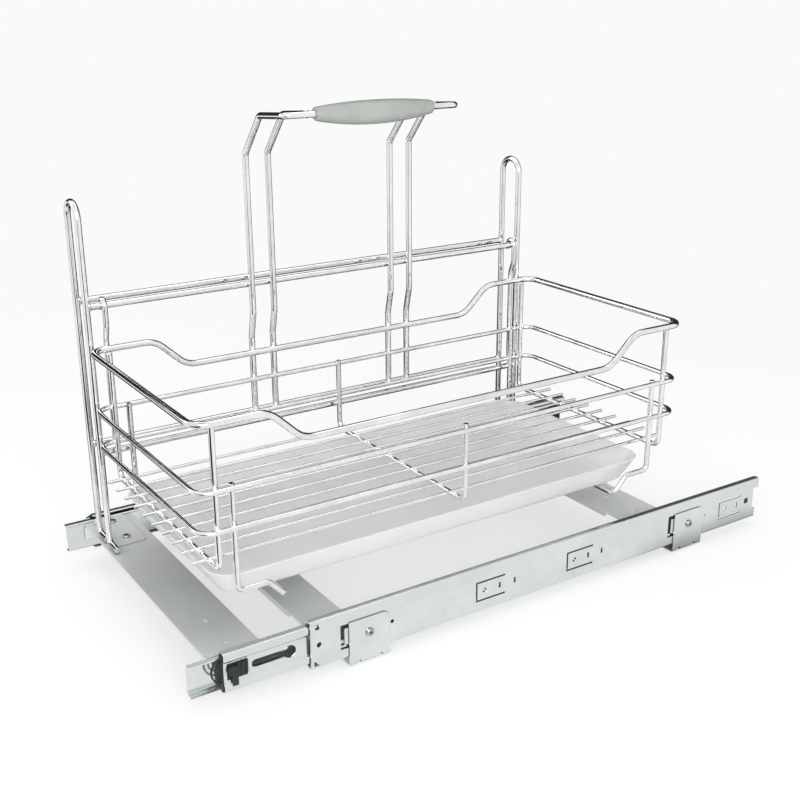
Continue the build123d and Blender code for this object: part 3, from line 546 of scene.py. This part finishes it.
rim = tube(rimPath(), basket["rimWire"], True, basket["rimSides"])
putPiece("rimWire", [rim], "chrome", "caddy", ("basket_rim",))
for level in ("upper", "lower"):
    path = bentPath(plan(basket[level + "Ring"]), [basket["corner"]] * 4, closed=True)
    ring = tube(path, basket["ringWire"], True)
    putPiece(f"ringWire_{level}", [ring], "chrome", "caddy", (f"basket_ring_{level}",))
for name, sign, top in (("front", -1, "ribTop"), ("middle", 0, "shortTop"), ("rear", 1, "ribTop")):
    rib = tube(ribPath(sign * basket["ribOffset"], basket[top]), basket["ribWire"])
    putPiece(f"ribWire_{name}", [rib], "chrome", "caddy", (f"basket_rib_{name}",))
middleX = (basket["near"] + basket["far"]) / 2
floorXs = middleX + (np.arange(basket["floorCount"]) - (basket["floorCount"] - 1) / 2) * basket["floorPitch"]
floorYs = [basket["centre"] + sign * basket["floorReach"] for sign in (-1, 1)]
floorPaths = [bentPath([(x, y, basket["floorHeight"]) for y in floorYs]) for x in floorXs]
floorTubes = [tube(path, basket["floorWire"], sides=basket["floorSides"]) for path in floorPaths]
putPiece("floorWires", floorTubes, "chrome", "caddy", ("basket_floor_wires",))
for name, sign in (("front", -1), ("rear", 1)):
    runner = tube(footPath(sign), foot["wire"])
    putPiece(f"footWire_{name}", [runner], "chrome", "caddy", (f"foot_frame_{name}",))
    hanger = tube(hookPath(hook[name]), hook["wire"])
    putPiece(f"hookWire_{name}", [hanger], "chrome", "caddy", (f"basket_hook_{name}",))
print("basket wires made")


# handle and grip

handle = {
    "wire": 6.0, "centre": -81.6, "outer": 91.0, "inner": 68.0, "lowerX": -86.1, "upperX": -80.0,
    "foot": 149.85, "jogBottom": 229.0, "jogTop": 254.0, "slopeStart": 407.0, "slopeRun": 34.0,
    "top": 447.6, "crownRise": 3.4, "barX": 3.0, "strutX": -3.1, "bend": 6.0, "jogBend": 16.0,
    "sides": 24,
}
gripShape = {
    "length": 123.0, "height": 21.5, "width": 25.0, "endHeight": 12.0, "endWidth": 14.0,
    "drop": 1.4, "bore": 6.2, "swell": 2.1, "squareness": 2.2, "endRound": 1.6,
    "stations": 60, "sides": 40, "crease": 50.0,
}


def uprightCorners(y, barX):
    h = handle
    crown = (h["upperX"] + h["slopeRun"], y, h["top"] - h["crownRise"])
    return [(h["lowerX"], y, h["foot"]), (h["lowerX"], y, h["jogBottom"]), (h["upperX"], y, h["jogTop"]),
            (h["upperX"], y, h["slopeStart"]), crown, (barX, y, h["top"])]


bends = [handle["jogBend"]] * 2 + [handle["bend"]] * 2
front, rear = (uprightCorners(handle["centre"] + sign * handle["outer"], handle["barX"]) for sign in (-1, 1))
bowPath = bentPath(front + rear[::-1], bends + [handle["bend"]] * 2 + bends[::-1])
bow = tube(bowPath, handle["wire"], sides=handle["sides"])
putPiece("handleBow", [bow], "chrome", "caddy", ("handle_bow",))
for name, sign in (("front", -1), ("rear", 1)):
    path = bentPath(uprightCorners(handle["centre"] + sign * handle["inner"], handle["strutX"]), bends)
    strut = tube(path, handle["wire"], sides=handle["sides"])
    putPiece(f"handleStrut_{name}", [strut], "chrome", "caddy", (f"handle_strut_{name}",))


def gripSurface():
    # an oval section whose width and height swell from the ends to the middle as 1 - |2s| ** swell, s being
    # the share of the length; it turns in round each end by r * (1 - sqrt(1 - c ** 2)), c being the closeness
    # to the end, and comes back through the bore
    g = gripShape
    share = np.sin(np.linspace(-np.pi / 2, np.pi / 2, g["stations"])) / 2
    swell = 1 - np.abs(2 * share) ** g["swell"]
    wide = (g["endWidth"] + (g["width"] - g["endWidth"]) * swell) / 2
    high = (g["endHeight"] + (g["height"] - g["endHeight"]) * swell) / 2
    fromEnd = g["length"] / 2 - np.abs(share) * g["length"]
    closeness = np.clip(1 - fromEnd / g["endRound"], 0, 1)
    inset = g["endRound"] * (1 - np.sqrt(np.clip(1 - closeness ** 2, 0, 1)))
    wide, high = wide - inset, high - inset
    turn = np.linspace(0, 2 * np.pi, g["sides"], endpoint=False)[None, :]
    power = 2 / g["squareness"]
    across = np.sign(np.cos(turn)) * np.abs(np.cos(turn)) ** power
    rise = np.sign(np.sin(turn)) * np.abs(np.sin(turn)) ** power
    along = np.broadcast_to((share * g["length"])[:, None], (len(share), g["sides"]))
    outer = np.stack([wide[:, None] * across, along, high[:, None] * rise - g["drop"] * swell[:, None]], -1)
    bore = np.stack([np.cos(turn[0]), np.zeros(g["sides"]), np.sin(turn[0])], -1) * g["bore"] / 2
    ends = np.array([[0, 1, 0], [0, -1, 0]])[:, None] * g["length"] / 2
    centre = np.array([handle["barX"], handle["centre"], handle["top"]])
    points = np.concatenate([outer, bore[None] + ends]) + centre
    return points.reshape(-1, 3), gridFaces(len(share) + 2, g["sides"], True, True)[:, ::-1].tolist()


putPiece("gripMoulding", [gripSurface()], "grip_plastic", "caddy", ("grip",), crease=gripShape["crease"])
print("handle and grip made")


# weld beads of the caddy

alongX, alongY, upward = (1, 0, 0), (0, 1, 0), (0, 0, 1)
beadSizes = {  # half sizes along the two directions of a contact, and square to both
    "ringRib": (2.6, 2.6, 1.5), "ringUpright": (2.8, 2.8, 1.7), "rimRib": (3.0, 3.0, 1.4),
    "rimUpright": (3.2, 3.2, 1.8), "rimHook": (3.0, 3.0, 1.7), "floorRib": (1.9, 1.9, 1.0),
    "barStrut": (3.7, 3.7, 1.3),
}
uprightShift = 0.4  # how far past a ring's surface the beads of the uprights sit


def weldList():  # contact points of crossing wires, with the two directions and the bead's half sizes
    b, f, h, k = basket, foot, handle, hook
    ribs = [b["centre"] + offset for offset in (-b["ribOffset"], 0.0, b["ribOffset"])]
    feet = [b["centre"] + offset for offset in (-f["offset"], f["offset"])]
    uprights = [h["centre"] + sign * h[key] for sign in (-1, 1) for key in ("outer", "inner")]
    hooks = [k["front"], k["rear"]]
    ringHalf, rimHalf = b["ringWire"] / 2, b["rimWire"] / 2
    spots = []

    def mark(kind, first, second, xs, ys, z):
        spots.extend(((x, y, z), first, second, beadSizes[kind]) for y in ys for x in xs)

    for z in (b["upperRing"], b["lowerRing"]):
        mark("ringRib", alongY, upward, (b["near"] - ringHalf, b["far"] + ringHalf), ribs + feet, z)
        mark("ringUpright", alongY, upward, (b["far"] - ringHalf - uprightShift,), uprights + hooks, z)
    mark("rimRib", alongX, alongY, (b["ribNear"], b["ribFar"]), (ribs[0], ribs[2]), b["ribTop"])
    mark("rimUpright", alongY, upward, (b["far"] - rimHalf,), uprights, b["rimLow"])
    mark("rimHook", alongY, upward, (b["far"] - rimHalf,), hooks, b["rimHigh"])
    mark("floorRib", alongX, alongY, floorXs, ribs, b["ribFloor"] + b["ribWire"] / 2)
    inner = [h["centre"] + sign * h["inner"] for sign in (-1, 1)]
    mark("barStrut", alongY, upward, (h["barX"] - h["wire"] / 2,), inner, h["top"])
    return [list(column) for column in zip(*spots)]


putPiece("caddyWelds", [beads(*weldList())], "chrome", "caddy")
print("weld beads made")


# drip tray

trayShape = {  # heel and lip are (outset, height, corner radius), counted from the wall's foot and its top
    "centre": (36.4, -88.6), "floor": 81.1, "height": 25.5, "mouth": (214.0, 468.0), "flare": 14.0,
    "wall": 2.4, "corner": 14.0, "mouthCorner": 21.5, "heel": ((-4.0, 0.0, -2.0), (-1.2, 0.25, 0.0)),
    "lip": ((0.0, -0.6, 0.0), (-0.5, 0.0, 0.0), (-1.9, 0.0, -1.5)),
    "leanSteps": 12, "arcSteps": 10, "sideSteps": 24, "crease": 35.0,
}


def roundedPlan(halfX, halfY, corner, arcSteps, sideSteps):
    # a loop round a rectangle, whole rows at once: each corner is centre + r * (cos a, sin a) over a quarter
    # turn, and each side is divided evenly
    quarter = np.linspace(0, np.pi / 2, arcSteps + 1)
    loops = []
    for turns, (signX, signY) in enumerate(((1, 1), (-1, 1), (-1, -1), (1, -1))):
        angle = quarter + turns * np.pi / 2
        centre = np.stack([signX * (halfX - corner), signY * (halfY - corner)], -1)[:, None, :]
        arc = np.stack([np.cos(angle), np.sin(angle)], -1)[None]
        loops.append(centre + corner[:, None, None] * arc)
    joined = []
    for here, after in zip(loops, loops[1:] + loops[:1]):
        share = np.linspace(0, 1, sideSteps + 1)[1:-1][None, :, None]
        joined += [here, here[:, -1:] + (after[:, :1] - here[:, -1:]) * share]
    return np.concatenate(joined, axis=1)


def traySurface():
    # a profile of (outset from the mouth's outline, height, corner radius) carried round a rounded
    # rectangle: up the outside, over the lip and down the inside, with a flat floor closing both ends
    t = trayShape
    foot = np.array([-t["flare"], 0.0, t["corner"]])
    top = np.array([0.0, t["height"], t["mouthCorner"]])
    lean = np.linspace(0, 1, t["leanSteps"])[:, None]
    outside = np.vstack([foot + np.array(t["heel"]), (foot + (top - foot) * lean)[1:]])
    inside = outside[::-1] - np.array([t["wall"], 0, t["wall"]])
    inside[:, 1] = np.maximum(inside[:, 1], t["wall"])
    profile = np.vstack([outside[:-1], top + np.array(t["lip"]), inside[1:]])
    halfX, halfY = t["mouth"][0] / 2 + profile[:, 0], t["mouth"][1] / 2 + profile[:, 0]
    loop = roundedPlan(halfX, halfY, profile[:, 2], t["arcSteps"], t["sideSteps"])
    height = np.broadcast_to((t["floor"] + profile[:, 1])[:, None, None], loop.shape[:2] + (1,))
    points = np.concatenate([loop + np.array(t["centre"]), height], -1)
    rows, columns = loop.shape[:2]
    faces = gridFaces(rows, columns, False, True).tolist()
    faces.append(list(range(columns))[::-1])
    faces.append(list(range((rows - 1) * columns, rows * columns)))
    return points.reshape(-1, 3), faces


putPiece("dripTray", [traySurface()], "tray_plastic", "tray", ("drip_tray",), crease=trayShape["crease"])
print("tray made")


# slides, brackets and plates: the CAD's own shapes with finished edges

sheetEdges = {  # how wide the edges of each kind of piece are rounded
    "slide_cabinet_member": 0.18, "slide_middle_member": 0.18, "slide_drawer_member": 0.18,
    "floor_bracket": 0.25, "cross_plate": 0.22, "stand_base": 0.22, "latch_clip": 0.35,
    "front_guide": 0.3, "rear_bumper": 0.6, "outer_ball_cage": 0.0, "inner_ball_cage": 0.0,
    "bracket_screws": 0.12, "stand_screws": 0.12,
}
otherLooks = {"bracket_screws": screwSteel, "stand_screws": screwSteel, "stand_base": plateSteel}
for node in sorted(frame["nodes"]):
    kind = next((start for start in sheetEdges if node.startswith(start)), None)
    if kind:
        piece = dressNode(node, sheetEdges[kind])
        piece.data.materials[0] = otherLooks.get(kind, piece.data.materials[0])
    elif node.startswith(("outer_balls", "inner_balls")):
        frame["nodes"][node].data.materials.clear()
        frame["nodes"][node].data.materials.append(ballSteel)
print("slides, brackets and plates dressed")


# floor, light and camera: places and sizes are in metres, but for the floor's drop and the camera's place

floorSettings = {
    "size": 14.0, "drop": 0.3, "tone": rgb(0.92, 0.92, 0.92), "roughness": 0.7,
    "nearShare": 0.55, "nearReach": 0.6, "farReach": 1.3,
}
mirrored = {  # what only mirrors see: dark flags beyond the object and one beside the camera
    "away": (-0.817, 0.576, 0.0), "across": (0.576, 0.817, 0.0),
    "dark": rgb(0.03, 0.03, 0.032), "white": rgb(1.0, 1.0, 1.0), "backdrop": rgb(0.955, 0.955, 0.96),
    "behind": (-0.09, -0.03), "nearEdge": (0.20, 0.15), "frontEdge": (-0.68, -0.62),
    "flagReach": (-0.42, -0.46), "flagStart": (-0.78, -0.70), "flagEnd": (-0.26, -0.18),
    "top": (0.70, 0.82), "spread": (0.22, 0.36), "ceiling": (0.93, 0.96),
}
worldFill = 0.79  # strength of the world's light on everything that isn't a mirror


def inAll(tree, first, *others):  # where every mask is on
    for mask in others:
        first = calculate(tree, "MULTIPLY", first, mask)
    return first


def inAny(tree, first, *others):  # where one of the masks is on
    for mask in others:
        first = calculate(tree, "MAXIMUM", first, mask)
    return first


def seenTone(tree, rays, dark):  # the backdrop for the camera; white with dark flags for mirrors
    mirrorTone = mixColor(tree, dark, mirrored["white"], mirrored["dark"])
    return mixColor(tree, rays["Is Glossy Ray"], mirrored["backdrop"], mirrorTone)


def makeFloor():
    f, m = floorSettings, mirrored
    half, z = f["size"] / 2, -f["drop"] * mm
    mesh = bpy.data.meshes.new("studioFloor")
    corners = [(-half, -half, z), (half, -half, z), (half, half, z), (-half, half, z)]
    mesh.from_pydata(corners, [], [(0, 1, 2, 3)])
    floor = bpy.data.objects.new("studioFloor", mesh)
    bpy.context.scene.collection.objects.link(floor)
    look, tree, shader, where = newLook("paleFloor", Base_Color=f["tone"], Roughness=f["roughness"])
    rays = add(tree, "ShaderNodeLightPath").outputs
    distance = add(tree, "ShaderNodeVectorMath", {0: where}, operation="LENGTH").outputs["Value"]
    white = remap(tree, distance, f["nearReach"], f["farReach"], f["nearShare"], 1.0)
    direct = inAll(tree, white, inAny(tree, rays["Is Camera Ray"], rays["Is Transmission Ray"]))
    seen = inAny(tree, direct, rays["Is Glossy Ray"])
    side, depth = add(tree, "ShaderNodeSeparateXYZ", {0: where}).outputs[:2]
    away, across = dotted(tree, where, m["away"]), dotted(tree, where, m["across"])
    inside = inAll(tree, remap(tree, side, *m["nearEdge"]), remap(tree, depth, *m["frontEdge"]))
    behind = inAll(tree, remap(tree, away, *m["behind"]), inside)
    flag = inAll(tree, remap(tree, across, *m["flagStart"]), remap(tree, across, *m["flagEnd"], 1.0, 0.0),
                 remap(tree, away, *m["flagReach"]))
    tone = seenTone(tree, rays, inAny(tree, behind, flag))
    glow = add(tree, "ShaderNodeEmission", {"Color": tone, "Strength": 1.0})
    mixed = add(tree, "ShaderNodeMixShader", {0: seen, 1: shader.outputs[0], 2: glow.outputs[0]})
    end = next(node for node in tree.nodes if node.type == "OUTPUT_MATERIAL")
    tree.links.new(mixed.outputs[0], end.inputs[0])
    mesh.materials.append(look)


def makeWorld():
    m = mirrored
    world = bpy.data.worlds.new("studio")
    world.use_nodes = True
    bpy.context.scene.world = world
    tree = world.node_tree
    tree.nodes.clear()
    rays = add(tree, "ShaderNodeLightPath").outputs
    aim = add(tree, "ShaderNodeTexCoord").outputs["Generated"]
    rise = add(tree, "ShaderNodeSeparateXYZ", {0: aim}).outputs[2]
    below = remap(tree, rise, *m["top"], 1.0, 0.0)
    behind = inAll(tree, below, remap(tree, dotted(tree, aim, m["away"]), *m["spread"]))
    tone = seenTone(tree, rays, inAny(tree, behind, remap(tree, rise, *m["ceiling"])))
    soft = add(tree, "ShaderNodeBackground", {"Color": rgb(1, 1, 1), "Strength": worldFill})
    shown = add(tree, "ShaderNodeBackground", {"Color": tone, "Strength": 1.0})
    seen = inAny(tree, rays["Is Camera Ray"], rays["Is Transmission Ray"], rays["Is Glossy Ray"])
    mixed = add(tree, "ShaderNodeMixShader", {0: seen, 1: soft.outputs[0], 2: shown.outputs[0]})
    end = add(tree, "ShaderNodeOutputWorld")
    tree.links.new(mixed.outputs[0], end.inputs[0])


def aimed(place, target):  # a placement at one point, looking at another
    place, target = Vector(place), Vector(target)
    return Matrix.Translation(place) @ (target - place).to_track_quat("-Z", "Y").to_matrix().to_4x4()


lamps = {
    "keyBox": {"place": (1.7, -1.0, 1.0), "size": (1.5, 1.0), "watts": 28.0},
    "topBox": {"place": (-0.2, 0.1, 2.4), "size": (2.0, 1.6), "watts": 9.5},
    "fillBox": {"place": (-1.6, -1.6, 1.3), "size": (1.2, 1.2), "watts": 9.0},
}
lampTarget = (0, -0.05, 0.15)


def makeLamps():
    for name, lamp in lamps.items():
        light = bpy.data.lights.new(name, "AREA")
        light.shape = "RECTANGLE"
        light.size, light.size_y = lamp["size"]
        light.energy = lamp["watts"]
        holder = bpy.data.objects.new(name, light)
        holder.matrix_world = aimed(lamp["place"], lampTarget)
        bpy.context.scene.collection.objects.link(holder)


view = {  # fitted to the photo; the focal length is in pixels of its frame
    "azimuth": 57.14, "elevation": 19.43, "roll": -0.39, "place": (903.55, -638.36, 543.54),
    "focal": 1142.49, "frame": 800.0, "sensor": 36.0, "clip": (0.01, 100.0),
}


def makeCamera():
    azimuth, elevation, roll = (math.radians(view[key]) for key in ("azimuth", "elevation", "roll"))
    level = math.cos(elevation)
    back = Vector((math.sin(azimuth) * level, -math.cos(azimuth) * level, math.sin(elevation)))
    flat = Vector((math.cos(azimuth), math.sin(azimuth), 0))
    upright = back.cross(flat)
    right = math.cos(roll) * flat + math.sin(roll) * upright
    up = -math.sin(roll) * flat + math.cos(roll) * upright
    data = bpy.data.cameras.new("photoCamera")
    data.sensor_width = view["sensor"]
    data.lens = view["focal"] / view["frame"] * data.sensor_width
    data.clip_start, data.clip_end = view["clip"]
    camera = bpy.data.objects.new("photoCamera", data)
    turned = Matrix((right, up, back)).transposed().to_4x4()
    camera.matrix_world = Matrix.Translation(Vector(view["place"]) * mm) @ turned
    bpy.context.scene.collection.objects.link(camera)
    bpy.context.scene.camera = camera


makeFloor()
makeWorld()
makeLamps()
makeCamera()
bpy.context.scene.view_settings.view_transform = "Standard"
print("floor, light and camera set")
